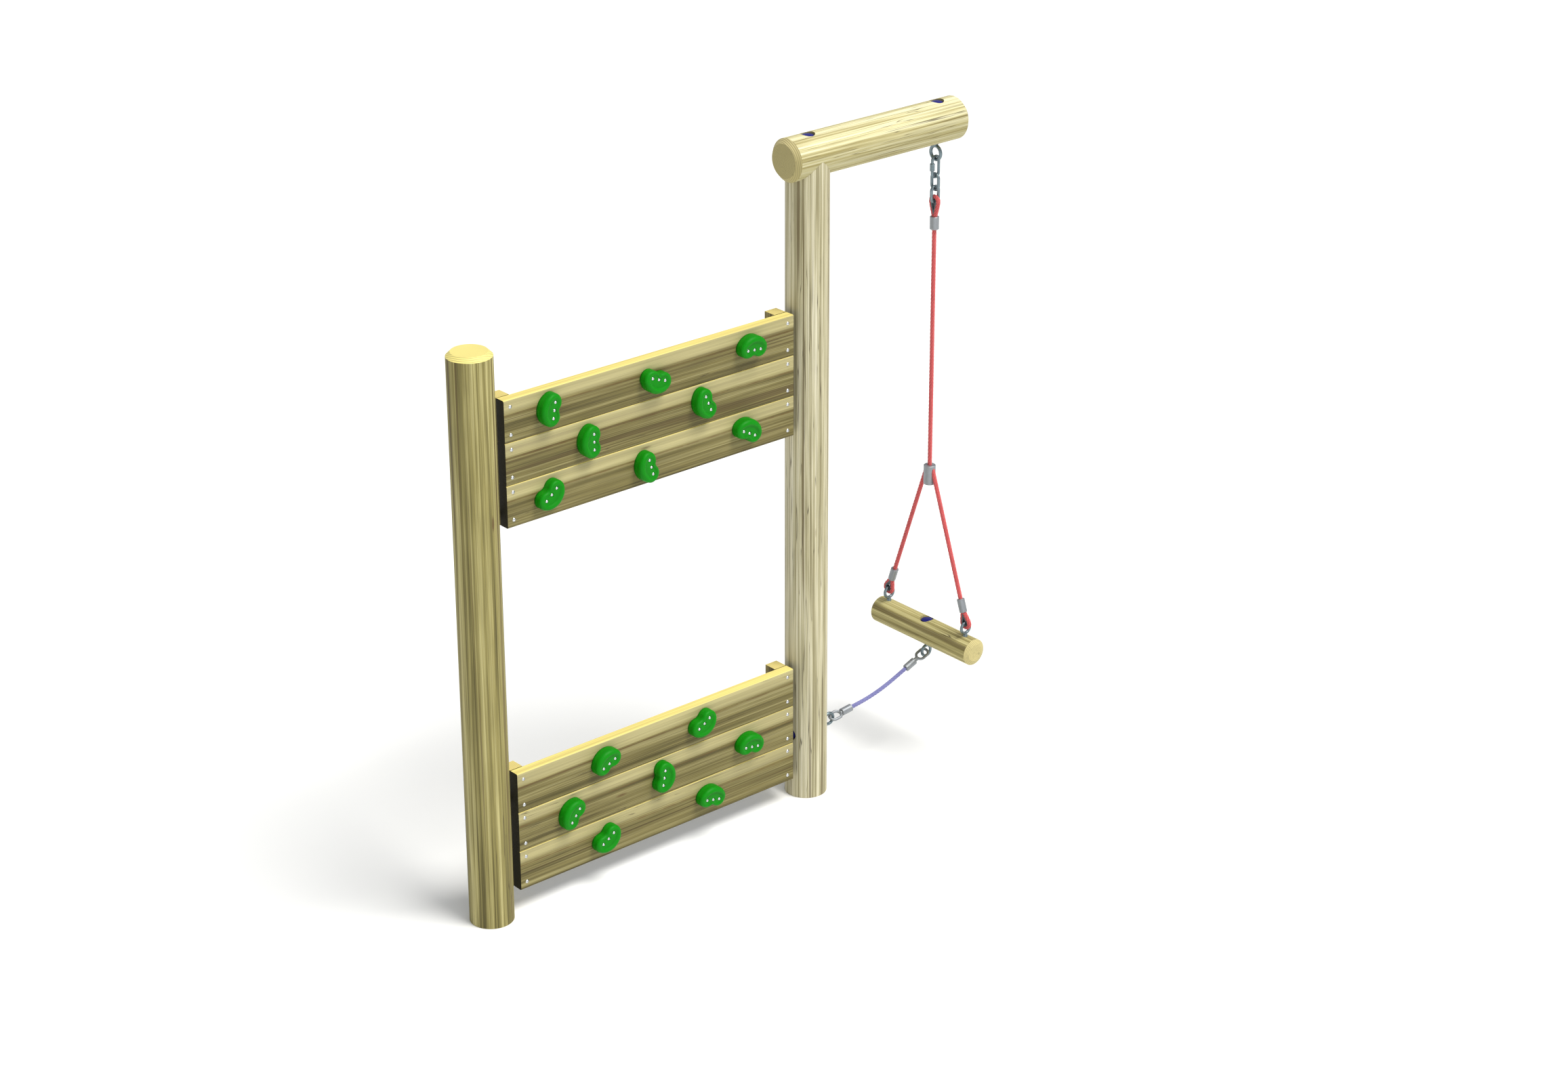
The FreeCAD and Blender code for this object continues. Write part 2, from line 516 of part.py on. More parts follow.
# ---- tether ------------------------------------------------------------------------------------
def tether_fitting(mouth, direction, loop_end):
    """A swaged end: an oval loop, rolled about the tether's line, and the sleeve on the rope."""
    roll = math.radians(TETHER_ROLL)
    across = V(0, math.sin(roll), -math.cos(roll)).cross(direction)
    across.normalize()
    leg = TETHER_LOOP_W / 2 - TETHER_WIRE_R
    pitch = TETHER_LOOP_L - 2 * TETHER_WIRE_R
    middle = loop_end + direction * (TETHER_LOOP_L / 2)
    loop = oval_ring(middle, direction, across, pitch, leg, TETHER_WIRE_R)
    collar = mouth - direction * (TETHER_FERRULE_L - 6)
    neck = rod(loop_end + direction * (TETHER_LOOP_L - 6), collar + direction, TETHER_WIRE_R + 3)
    return fuse(loop, neck, bevelled_rod(collar, mouth, TETHER_FERRULE_D / 2, 2, 3))

def rope_rod(points):
    """A rope through the points, every corner rounded by a tangent arc, and its centreline's length."""
    edges, radii, start = [], [], points[0]
    for before, corner, after in zip(points, points[1:], points[2:]):
        into, out = corner - before, after - corner
        tangent = 0.45 * min(into.Length, out.Length)
        half_turn = into.getAngle(out) / 2
        radius = tangent / math.tan(half_turn)
        into.normalize()
        out.normalize()
        bisector = (out - into).normalize()
        first, last = corner - into * tangent, corner + out * tangent
        middle = corner + bisector * (radius / math.cos(half_turn) - radius)
        edges += [Part.makeLine(start, first), Part.Arc(first, middle, last).toShape()]
        radii.append(radius)
        start = last
    line = Part.Wire(edges + [Part.makeLine(start, points[-1])])
    profile = Part.Wire(Part.makeCircle(TETHER_ROPE_R, points[0], points[1] - points[0]))
    tube = line.makePipeShell([profile], True, False)
    section = math.pi * TETHER_ROPE_R ** 2
    print("tether rope: bend radii %s mm, length %.1f, volume over section %.1f" % (
        [round(r) for r in radii], line.Length, tube.Volume / section))
    return tube

def tether_rods():
    """The lower rod has a ball at both ends; the upper one is hollowed round the fold's ball."""
    points = [V(x, 0, z) for x, z in TETHER_ROUTE]
    fold = points[TETHER_FOLD_AT]
    balls = [Part.makeSphere(TETHER_ROPE_R, centre) for centre in (points[0], fold)]
    lower = fuse(rope_rod(points[:TETHER_FOLD_AT + 1]), *balls)
    hollow = Part.makeSphere(TETHER_ROPE_R + FOLD_CLEARANCE, fold)
    upper = rope_rod(points[TETHER_FOLD_AT:]).cut(hollow)
    return points, lower, upper

# ---- the assembly ------------------------------------------------------------------------------
def make_frame():
    write("short_post", short_post())
    write("tall_post", tall_post())
    write("cross_beam", cross_beam())
    hold = climbing_hold()
    hold_screws, plank_screws = [], []
    for panel, bottom_z, holds in (("upper", UPPER_PANEL_Z, UPPER_HOLDS),
                                   ("lower", LOWER_PANEL_Z, LOWER_HOLDS)):
        holes = [plank_screw_hole(seat) for seat in plank_screw_seats(bottom_z)]
        plank_screws += [plank_screw(seat) for seat in plank_screw_seats(bottom_z)]
        for number, (x, z, angle) in enumerate(holds, 1):
            centre = V(PANEL_MID_X + x, PANEL_FRONT_Y, bottom_z + z)
            placed = hold.copy()
            placed.Placement = hold_placement(centre, angle)
            write("%s_hold_%d" % (panel, number), placed)
            for seat in hold_screw_seats(centre, angle):
                holes.append(hold_screw_hole(seat))
                hold_screws.append(hold_screw(seat))
        for k, place in enumerate(("bottom", "middle", "top")):
            write("%s_plank_%s" % (panel, place), plank(bottom_z + k * PLANK_W, holes))
        for x, side in zip(BATTEN_X, ("left", "right")):
            write("%s_batten_%s" % (panel, side), batten(x, bottom_z))
    write("plank_screws", *plank_screws)
    write("hold_screws", *hold_screws)
    bolts, spacers, washers, nuts = panel_bolts()
    write("panel_bolts", *bolts)
    write("panel_bolt_spacers", *spacers)
    write("panel_bolt_washers", *washers)
    write("panel_bolt_nuts", *nuts)


def make_frame_hardware():
    coach_seat = V(0, 0, BEAM_SEAT_Z)
    shank = rod(V(0, 0, BEAM_AXIS_Z - BEAM_R + 8), coach_seat + Z_AXIS * 5, COACH_SHANK_R)
    thread = rod(V(0, 0, COACH_TIP_Z + 12), V(0, 0, BEAM_AXIS_Z), COACH_THREAD_R)
    tip = Part.makeCone(0.5, COACH_THREAD_R, 12, V(0, 0, COACH_TIP_Z), Z_AXIS)
    head = hexagon(coach_seat + Z_AXIS * M12_WASHER_T, Z_AXIS, COACH_HEAD_AF, COACH_HEAD_H)
    write("beam_coach_screw", fuse(shank, thread, tip, head))
    eye = V(HANG_X, 0, BEAM_EYE_Z)
    standoff = BEAM_AXIS_Z - BEAM_R - BEAM_EYE_Z
    shank_length = BEAM_SEAT_Z - (BEAM_AXIS_Z - BEAM_R) + M12_WASHER_T + M12_NUT_H + 3
    write("beam_eye_bolt", eye_bolt(eye, -Z_AXIS, X_AXIS, shank_length, BEAM_EYE_RING_R, BEAM_EYE_WIRE_R,
                                    BEAM_EYE_SHANK_R, standoff))
    post_eye = V(POST_EYE_X, 0, POST_EYE_Z)
    post_seat = V(-POST_R + RECESS_DEPTH, 0, POST_EYE_Z)
    shank_length = 2 * POST_R - RECESS_DEPTH + M12_WASHER_T + M12_NUT_H + 2
    write("post_eye_bolt", eye_bolt(post_eye, X_AXIS, Y_AXIS, shank_length, EYE_RING_R, EYE_WIRE_R, M12_R,
                                    EYE_STANDOFF))
    eye_seat = V(HANG_X, 0, BEAM_SEAT_Z)
    write("recess_washers", washer(coach_seat, Z_AXIS, COACH_SHANK_R + 0.1),
          washer(eye_seat, Z_AXIS, BEAM_EYE_SHANK_R + 0.1), washer(post_seat, -X_AXIS, M12_R + 0.1))
    write("eye_bolt_nuts",
          nut(eye_seat + Z_AXIS * M12_WASHER_T, Z_AXIS, M16_NUT_AF, M12_NUT_H, BEAM_EYE_SHANK_R),
          nut(post_seat - X_AXIS * M12_WASHER_T, -X_AXIS, M12_NUT_AF, M12_NUT_H, M12_R))
    rise = M12_WASHER_T
    write("recess_caps", recess_cap(coach_seat + Z_AXIS * rise, Z_AXIS),
          recess_cap(eye_seat + Z_AXIS * rise, Z_AXIS),
          recess_cap(post_seat - X_AXIS * rise, -X_AXIS))


def make_trapeze():
    write("quick_link", quick_link())
    write("quick_link_sleeve", quick_link_sleeve())
    for name, top, across in (("upper", CHAIN_UPPER_TOP_Z, Y_AXIS), ("lower", CHAIN_LOWER_TOP_Z, X_AXIS)):
        middle = V(HANG_X, 0, top - CHAIN_PITCH / 2)
        write("chain_link_%s" % name, oval_ring(middle, Z_AXIS, across, CHAIN_PITCH, CHAIN_LEG, CHAIN_WIRE_R))
    rope, top_liner, top_clamp = top_rope()
    near_rope, near_liner, near_clamp = leg_rope(-1)
    far_rope, far_liner, far_clamp = leg_rope(1)
    write("main_rope", rope)
    write("leg_rope_near", near_rope)
    write("leg_rope_far", far_rope)
    write("rope_thimbles", top_liner, near_liner, far_liner)
    write("rope_ferrules", top_clamp, near_clamp, far_clamp)
    y_clamp = ferrule(V(HANG_X, 0, Y_FERRULE_Z[0]), V(HANG_X, 0, Y_FERRULE_Z[1]), Y_FERRULE_D,
                      [rope, near_rope, far_rope])
    write("rope_y_ferrule", y_clamp)
    write("trapeze_bar", trapeze_bar())
    bolts, washers, nuts = bar_hardware()
    write("bar_eye_bolts", *bolts)
    write("bar_eye_washers", *washers)
    write("bar_eye_nuts", *nuts)
    write("bar_cap", recess_cap(V(HANG_X, 0, TRAPEZE_BAR_Z + BAR_R - RECESS_DEPTH + M12_WASHER_T), Z_AXIS))


def make_tether():
    points, lower_rod, upper_rod = tether_rods()
    low_dir = (points[1] - points[0]).normalize()
    bar_eye = V(HANG_X, 0, BAR_LOWER_EYE_Z)
    high_dir = (points[-1] - bar_eye).normalize()
    write("tether_rope_lower", lower_rod)
    write("tether_rope_upper", upper_rod)
    post_wire = V(POST_EYE_X + EYE_RING_R, 0, POST_EYE_Z)
    low_end = post_wire - low_dir * (EYE_WIRE_R + TETHER_LOWER_GAP + 2 * TETHER_WIRE_R)
    high_end = bar_eye - high_dir * (TETHER_WIRE_R + TETHER_UPPER_SLACK)
    socket = Part.makeSphere(TETHER_ROPE_R + BALL_CLEARANCE, points[0])
    write("tether_lower_fitting", tether_fitting(points[0], low_dir, low_end).cut(socket))
    write("tether_upper_fitting", tether_fitting(points[-1], high_dir, high_end))

make_frame()
make_frame_hardware()
make_trapeze()
make_tether()
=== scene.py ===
"""Playground traverse wall with a rope trapeze: what it looks like. Metres, +Z up, the CAD frame."""
import json
import math
import bpy
import numpy as np
from mathutils import Matrix, Vector


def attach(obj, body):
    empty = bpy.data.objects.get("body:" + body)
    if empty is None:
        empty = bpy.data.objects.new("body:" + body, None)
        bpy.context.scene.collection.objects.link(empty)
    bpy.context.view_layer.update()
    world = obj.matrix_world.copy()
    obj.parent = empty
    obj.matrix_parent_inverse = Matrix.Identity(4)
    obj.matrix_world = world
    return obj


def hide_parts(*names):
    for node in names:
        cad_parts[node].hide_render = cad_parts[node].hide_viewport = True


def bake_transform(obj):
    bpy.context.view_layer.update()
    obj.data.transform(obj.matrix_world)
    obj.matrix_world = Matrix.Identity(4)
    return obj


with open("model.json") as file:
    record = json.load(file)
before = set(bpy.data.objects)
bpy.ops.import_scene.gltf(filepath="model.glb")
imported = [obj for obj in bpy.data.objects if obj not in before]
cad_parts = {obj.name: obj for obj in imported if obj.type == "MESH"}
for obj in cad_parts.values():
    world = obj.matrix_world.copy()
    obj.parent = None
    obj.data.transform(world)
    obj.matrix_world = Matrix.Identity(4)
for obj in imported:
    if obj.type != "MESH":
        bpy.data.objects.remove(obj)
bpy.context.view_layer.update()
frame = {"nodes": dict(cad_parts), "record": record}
scene = bpy.context.scene
NODES = frame["nodes"]

# ---- dimensions ----------------------------------------------------------------------------------
HANG_X = 0.583
ROPE_R, STRANDS, LAY_LENGTH = 0.008, 6, 0.085
STRAND_R, STRAND_HELIX_R = 0.00267, 0.00533
TETHER_R = 0.0075
FERRULE_L, LEG_EYE_LIFT, SPLINE_RESOLUTION = 0.040, 0.0006, 256
LOOP_R, TOP_THROAT, LEG_THROAT = 0.0185, 0.060, 0.046
CROWN_Z, LEGS_MEET_Z, ROPE_END_Z, LEG_TOP_Z = 2.0739, 1.126, 1.085, 1.084
EYE_Y, LEG_EYE_Z = 0.202, 0.5470
HOLD_W, HOLD_LOBE_R, HOLD_LOBE_U, HOLD_NOTCH = 0.076, 0.031, 0.025, 0.006
HOLD_SCREW_PITCH, HOLD_SCREW_V, HOLD_SEAT_R, HOLD_SEAT_HEIGHT = 0.027, 0.004, 0.0072, 0.0312
HOLD_SIDE_HEIGHTS, HOLD_INSET_ROWS, HOLD_AROUND = (0.0, 0.010, 0.018), 45, 96
PANEL_MID_X, PANEL_FRONT_Y = -0.695, -0.040
UPPER_Z, LOWER_Z, PLANK_W = 1.400, 0.085, 0.145
UPPER_HOLDS = [(-430, 369, -10), (-4, 361, 70), (403, 371, -95), (-275, 219, 0), (200, 228, 22),
               (-444, 82, 130), (-44, 68, 15), (381, 80, -117)]
LOWER_HOLDS = [(-243, 368, -65), (174, 373, 122), (-390, 221, -38), (-3, 227, 170), (385, 218, -98),
               (-250, 79, 123), (208, 73, -102)]
TETHER_ROUTE = [(216, 252.5), (262, 257.5), (308, 265.0), (352, 275.3), (396, 289.0), (440, 305.5),
                (481, 322.0)]


# ---- materials -----------------------------------------------------------------------------------
class Shader:
    """Builds a node material with short calls."""

    def __init__(self, name):
        self.mat = bpy.data.materials.new(name)
        self.mat.use_nodes = True
        self.tree = self.mat.node_tree
        self.tree.nodes.clear()
        self.out = self.tree.nodes.new("ShaderNodeOutputMaterial")
        self.bsdf = self.tree.nodes.new("ShaderNodeBsdfPrincipled")
        self.tree.links.new(self.bsdf.outputs[0], self.out.inputs[0])
        self.point = self.tree.nodes.new("ShaderNodeTexCoord").outputs["Object"]

    def put(self, socket, value):
        if isinstance(value, bpy.types.NodeSocket):
            self.tree.links.new(value, socket)
        elif isinstance(value, (tuple, list)) and len(value) == 3 and len(socket.default_value) == 4:
            socket.default_value = (*value, 1.0)
        else:
            socket.default_value = value

    def node(self, kind, out=0, props=(), **inputs):
        n = self.tree.nodes.new(kind)
        for key, value in props:
            setattr(n, key, value)
        for key, value in inputs.items():
            self.put(n.inputs[int(key[1:])] if key[0] == "i" and key[1:].isdigit()
                     else n.inputs[key.replace("_", " ")], value)
        return n.outputs[out]

    def math(self, op, a, b=0.0):
        return self.node("ShaderNodeMath", props=(("operation", op),), i0=a, i1=b)

    def stretched(self, scale, offset=(0, 0, 0)):
        return self.node("ShaderNodeMapping", Vector=self.point, Scale=scale, Location=offset)

    def noise(self, vector, scale, detail=4.0, rough=0.6):
        return self.node("ShaderNodeTexNoise", Vector=vector, Scale=scale, Detail=detail, Roughness=rough)

    def ramp(self, value, stops):
        n = self.tree.nodes.new("ShaderNodeValToRGB")
        bar = n.color_ramp.elements
        while len(bar) < len(stops):
            bar.new(0.5)
        for element, (place, colour) in zip(bar, stops):
            element.position = place
            element.color = (*colour, 1.0) if isinstance(colour, tuple) else (colour,) * 3 + (1.0,)
        self.put(n.inputs[0], value)
        return n.outputs[0]

    def mix(self, factor, a, b, blend="MIX"):
        n = self.tree.nodes.new("ShaderNodeMix")
        n.data_type, n.blend_type = "RGBA", blend
        self.put(n.inputs[0], factor)
        self.put(n.inputs[6], a)
        self.put(n.inputs[7], b)
        return n.outputs[2]

    def bump(self, height, strength, distance):
        return self.node("ShaderNodeBump", Strength=strength, Distance=distance, Height=height)

    def done(self, colour, rough, normal=None, **more):
        self.put(self.bsdf.inputs["Base Color"], colour)
        self.put(self.bsdf.inputs["Roughness"], rough)
        if normal is not None:
            self.put(self.bsdf.inputs["Normal"], normal)
        for key, value in more.items():
            self.put(self.bsdf.inputs[key.replace("_", " ")], value)
        return self.mat


def srgb(r, g, b):
    """Linear colour from 0-255 display values."""
    return tuple((c / 255) ** 2.2 for c in (r, g, b))


FINE_LINE, PALE_BAND, HEART_BROWN = srgb(84, 68, 32), srgb(202, 192, 142), srgb(92, 66, 28)
CHECK_DARK, KNOT_DARK = srgb(52, 38, 18), srgb(84, 54, 22)
LIT_EDGE, SHADED_UNDER = srgb(240, 220, 128), srgb(132, 122, 70)
RING_FREQUENCY = 1400.0


def wood(name, grain, pith, dark, mid, light, check=0.55, seed=0.0, plank_z=None, end_grain=None,
         broad_share=0.46, check_width=0.010, underside_shade=0.0):
    """Timber with growth rings round its pith, straight fibres along the grain, long checks and knots; on
    planks a painted highlight on upward faces, and painted shade on downward faces where asked.
    """
    s = Shader(name)
    along = {"X": 0, "Y": 1, "Z": 2}[grain]

    def grain_scale(length, cross):
        return tuple(length if i == along else cross for i in range(3))

    def streaks(length, cross, detail, shift):
        place = s.stretched(grain_scale(length, cross), (seed + shift, seed, seed * shift))
        return s.noise(place, 1.0, detail)

    wobble = streaks(0.8, 5.0, 2.0, 0.3)
    x, y, z = (s.node("ShaderNodeSeparateXYZ", out=i, Vector=s.point) for i in range(3))
    across = [c for i, c in enumerate((x, y, z)) if i != along]
    du = s.math("SUBTRACT", across[0], pith[0])
    dv = s.math("SUBTRACT", across[1], pith[1])
    radius = s.math("SQRT", s.math("ADD", s.math("MULTIPLY", du, du), s.math("MULTIPLY", dv, dv)))
    radius = s.math("ADD", radius, s.math("MULTIPLY", wobble, 0.012))
    wave = s.math("SINE", s.math("MULTIPLY", radius, RING_FREQUENCY))
    rings = s.math("MULTIPLY", s.math("ADD", wave, 1.0), 0.5)
    fibre = streaks(7.0, 520.0, 6.0, 1.1)
    fine = streaks(1.1, 150.0, 4.0, 2.3)
    broad = streaks(0.55, 46.0, 4.0, 3.7)
    cloud = streaks(1.2, 5.0, 3.0, 5.1)
    tone = s.math("ADD", s.math("MULTIPLY", broad, broad_share), s.math("MULTIPLY", fine, 0.80 - broad_share))
    tone = s.math("ADD", tone, s.math("ADD", s.math("MULTIPLY", rings, 0.05),
                                      s.math("MULTIPLY", cloud, 0.15)))
    colour = s.ramp(tone, [(0.40, dark), (0.50, mid), (0.60, light)])
    colour = s.mix(0.44, colour, s.ramp(fibre, [(0.38, 0.46), (0.60, 1.0)]), "MULTIPLY")
    line = s.ramp(streaks(0.4, 60.0, 1.0, 7.9), [(0.345, 1.0), (0.385, 0.0)])
    colour = s.mix(s.math("MULTIPLY", line, 0.68), colour, FINE_LINE)
    if plank_z is not None:
        bottom, width = plank_z
        level = s.math("FRACT", s.math("DIVIDE", s.math("SUBTRACT", z, bottom), width))
        level = s.math("ADD", level, s.math("MULTIPLY", s.math("SUBTRACT", wobble, 0.5), 0.06))
        band = s.ramp(level, [(0.0, 0.70), (0.10, 0.84), (0.58, 0.80), (0.69, 1.0), (0.98, 1.0)])
        colour = s.mix(1.0, colour, band, "MULTIPLY")
        pale = s.ramp(level, [(0.66, 0.0), (0.74, 0.42), (0.94, 0.50)])
        colour = s.mix(pale, colour, PALE_BAND)
        brown = s.ramp(level, [(0.600, 0.0), (0.632, 1.0), (0.665, 0.0)])
        dashes = s.ramp(s.noise(s.stretched((15.0, 1.0, 4.0), (seed, 0, 0)), 1.0, 3.0),
                        [(0.38, 0.25), (0.6, 1.0)])
        colour = s.mix(s.math("MULTIPLY", s.math("MULTIPLY", brown, dashes), 0.72), colour, HEART_BROWN)
    crack = s.math("ABSOLUTE", s.math("SUBTRACT", streaks(1.5, 90.0, 1.0, 9.7), 0.5))
    crack = s.ramp(crack, [(0.0, 1.0), (check_width, 0.0)])
    where = s.ramp(streaks(1.3, 12.0, 2.0, 11.3), [(check, 0.0), (check + 0.05, 1.0)])
    crack = s.math("MULTIPLY", crack, where)
    colour = s.mix(s.math("MULTIPLY", crack, 0.85), colour, CHECK_DARK)
    cell = s.node("ShaderNodeTexVoronoi", Scale=1.0,
                  Vector=s.stretched(grain_scale(2.6, 13.0), (seed, 4, seed)))
    knot = s.ramp(cell, [(0.040, 1.0), (0.085, 0.0)])
    colour = s.mix(s.math("MULTIPLY", knot, 0.7), colour, KNOT_DARK)
    facing = s.node("ShaderNodeNewGeometry", out=1)
    slope = s.math("ABSOLUTE", s.node("ShaderNodeSeparateXYZ", out=along, Vector=facing))
    ends = s.ramp(slope, [(0.58, 0.0), (0.68, 1.0)])
    grown = s.ramp(s.math("ADD", s.math("MULTIPLY", rings, 0.6), s.math("MULTIPLY", cloud, 0.5)),
                   [(0.25, 0.55), (0.60, 1.0)])
    ticks = s.ramp(s.noise(s.stretched((60.0, 60.0, 60.0), (seed, 2, 5)), 1.0, 3.0),
                   [(0.30, 0.72), (0.37, 1.0)])
    end_colour = s.mix(1.0, s.mix(1.0, end_grain or mid, grown, "MULTIPLY"), ticks, "MULTIPLY")
    colour = s.mix(ends, colour, end_colour)
    if plank_z is not None:
        # Painted highlight: plank faces that point up are coloured a bright lit yellow, as if lit from above.
        top_highlight_mask = s.ramp(s.node("ShaderNodeSeparateXYZ", out=2, Vector=facing), [(0.45, 0.0), (0.80, 1.0)])
        lit = s.mix(1.0, LIT_EDGE, s.ramp(fine, [(0.35, 0.72), (0.62, 1.0)]), "MULTIPLY")
        colour = s.mix(top_highlight_mask, colour, lit)
    if underside_shade:
        # Painted shade: faces that point down are darkened toward the shaded underside colour.
        underside_shade_mask = s.ramp(s.node("ShaderNodeSeparateXYZ", out=2, Vector=facing), [(0.15, 1.0), (0.62, 0.0)])
        colour = s.mix(s.math("MULTIPLY", underside_shade_mask, underside_shade), colour, SHADED_UNDER)
    height = s.math("ADD", s.math("MULTIPLY", fibre, 0.35), s.math("MULTIPLY", fine, 0.5))
    height = s.math("SUBTRACT", height, s.math("MULTIPLY", crack, 1.6))
    rough = s.ramp(fibre, [(0.3, 0.60), (0.7, 0.80)])
    return s.done(colour, rough, s.bump(height, 0.40, 0.0010))


def plastic(name, base, bright, rough=0.42, grain=900.0, seed=0.0):
    """Moulded plastic with a fine texture, slight colour variation, and a painted highlight on convex rims
    and edges.
    """
    s = Shader(name)
    fine = s.noise(s.point, grain, 3.0)
    broad = s.noise(s.stretched((1, 1, 1), (seed, seed, 0)), 38.0, 4.0)
    edge = s.node("ShaderNodeNewGeometry", out=7)
    # Painted highlight: convex places (high pointiness) are blended toward the bright colour.
    rim_highlight_mask = s.ramp(edge, [(0.47, 0.0), (0.56, 1.0)])
    body = s.mix(s.math("MULTIPLY", broad, 0.35), base, bright)
    colour = s.mix(s.math("MULTIPLY", rim_highlight_mask, 0.65), body, bright)
    roughness = s.ramp(fine, [(0.3, rough - 0.06), (0.7, rough + 0.10)])
    return s.done(colour, roughness, s.bump(fine, 0.18, 0.0004), Specular_IOR_Level=0.18)


def metal(name, base, rough, spangle=120.0, contrast=0.18, bump=0.10, seed=0.0, metallic=0.9):
    """Zinc, steel or alloy with crystal spangle, scratches and dull patches."""
    s = Shader(name)
    crystal = s.node("ShaderNodeTexVoronoi", out=1, Scale=spangle,
                     Vector=s.stretched((1, 1, 1), (seed, 0, 0)))
    patch = s.noise(s.point, 55.0, 5.0)
    scratch = s.noise(s.stretched((260.0, 260.0, 30.0)), 1.0, 3.0)
    grey = s.node("ShaderNodeRGBToBW", Color=crystal)
    dark = tuple(c * (1 - contrast) for c in base)
    light = tuple(min(1.0, c * (1 + contrast)) for c in base)
    colour = s.mix(grey, dark, light)
    colour = s.mix(s.math("MULTIPLY", s.ramp(patch, [(0.45, 0.0), (0.7, 1.0)]), 0.35), colour, dark)
    roughness = s.ramp(s.math("ADD", s.math("MULTIPLY", grey, 0.5), s.math("MULTIPLY", patch, 0.5)),
                       [(0.2, rough - 0.08), (0.8, rough + 0.14)])
    return s.done(colour, roughness, s.bump(scratch, bump, 0.0003), Metallic=metallic)


def rope_fibre(name, dark, base, light, twist=1600.0):
    """Laid polyester strands: fine yarn lines, fuzz and soiling."""
    s = Shader(name)
    yarn = s.noise(s.stretched((1, 1, 0.55)), twist, 2.0)
    soil = s.noise(s.point, 24.0, 5.0)
    colour = s.ramp(yarn, [(0.30, dark), (0.5, base), (0.72, light)])
    colour = s.mix(s.math("MULTIPLY", s.ramp(soil, [(0.5, 0.0), (0.8, 1.0)]), 0.35), colour, dark)
    return s.done(colour, 0.78, s.bump(yarn, 0.5, 0.0005), Sheen_Weight=0.25, Sheen_Roughness=0.5)


M_SHORT = wood("short_post_pine", "Z", (-1.372, 0.012), srgb(90, 82, 38), srgb(144, 134, 78),
               srgb(192, 182, 124), 0.60, 1.7, None, srgb(242, 226, 136))
M_TALL = wood("tall_post_pine", "Z", (0.014, 0.010), srgb(146, 137, 100), srgb(196, 188, 152),
              srgb(224, 217, 188), 0.42, 4.1, None, srgb(206, 188, 130), 0.24, 0.013)
M_BEAM = wood("beam_pine", "X", (0.010, 2.352), srgb(172, 158, 102), srgb(230, 221, 168),
              srgb(252, 246, 206), 0.36, 6.3, None, srgb(204, 190, 134), 0.18, 0.014, 0.5)
M_BAR = wood("bar_pine", "Y", (0.590, 0.440), srgb(128, 116, 62), srgb(184, 172, 112),
             srgb(220, 210, 150), 0.50, 8.9, None, srgb(204, 190, 130), 0.30, 0.010)
PLANK_TONES = (srgb(88, 79, 36), srgb(130, 119, 68), srgb(168, 158, 106))
# Painted shade: the plank end faces are coloured near black, as if they lay in shadow.
PLANK_END_PAINTED_SHADE = srgb(46, 42, 22)
M_BATTEN = wood("batten_pine", "Z", (-0.60, 0.060), srgb(84, 74, 38), srgb(132, 118, 66),
                srgb(176, 162, 104), 0.58, 12.0, None, srgb(228, 208, 126))
M_HOLD = plastic("hold_green", srgb(4, 102, 6), srgb(8, 158, 12), 0.50, 1100.0, 2.0)
M_CAP = plastic("cap_navy", srgb(20, 20, 84), srgb(44, 46, 128), 0.36, 700.0, 5.0)
M_ROPE = rope_fibre("rope_red", srgb(140, 34, 38), srgb(208, 80, 82), srgb(232, 126, 122))
M_TETHER = rope_fibre("rope_blue", srgb(72, 72, 128), srgb(122, 122, 178), srgb(164, 164, 208))
M_FERRULE = metal("alloy_ferrule", srgb(150, 154, 158), 0.48, 260.0, 0.08, 0.16, 3.0, 0.75)
M_THIMBLE = metal("thimble_steel", srgb(92, 98, 102), 0.46, 220.0, 0.16, 0.12, 9.0)
M_ZINC = metal("galvanised", srgb(124, 138, 144), 0.40, 150.0, 0.20, 0.10, 1.0)
M_SCREW = metal("bright_screw", srgb(206, 208, 210), 0.24, 380.0, 0.08, 0.06, 7.0, 1.0)
BY_SLOT = {"batten_timber": M_BATTEN, "bar_timber": M_BAR, "beam_timber": M_BEAM, "hold_plastic": M_HOLD,
           "cap_plastic": M_CAP, "red_rope": M_ROPE, "blue_rope": M_TETHER, "ferrule_alloy": M_FERRULE,
           "thimble_steel": M_THIMBLE, "screw_steel": M_SCREW, "galvanised_steel": M_ZINC}
BY_NODE = {"short_post": M_SHORT, "tall_post": M_TALL}


# ---- CAD nodes get finishes ----------------------------------------------------------------------
def plank_material(name, seed):
    bottom = UPPER_Z if name.startswith("upper") else LOWER_Z
    pith = (0.05 + 0.02 * (seed % 3), bottom + 0.02 * seed)
    return wood(name + "_pine", "X", pith, *PLANK_TONES, 0.56, 20.0 + 3.7 * seed, (bottom, PLANK_W),
                PLANK_END_PAINTED_SHADE)


planks = sorted(n for n in NODES if "_plank_" in n)
for seed, name in enumerate(planks):
    BY_NODE[name] = plank_material(name, seed)
for part in frame["record"]["subparts"]:
    obj = NODES[part["node"]]
    obj.data.materials.clear()
    obj.data.materials.append(BY_NODE.get(part["node"]) or BY_SLOT[part["material_slot"]])


# ---- mesh helpers --------------------------------------------------------------------------------
def add_mesh(name, verts, faces, material, smooth=True):
    mesh = bpy.data.meshes.new(name)
    mesh.from_pydata([tuple(v) for v in verts], [], faces)
    mesh.validate()
    mesh.update()
    mesh.polygons.foreach_set("use_smooth", [smooth] * len(mesh.polygons))
    mesh.materials.append(material)
    obj = bpy.data.objects.new(name, mesh)
    scene.collection.objects.link(obj)
    return obj


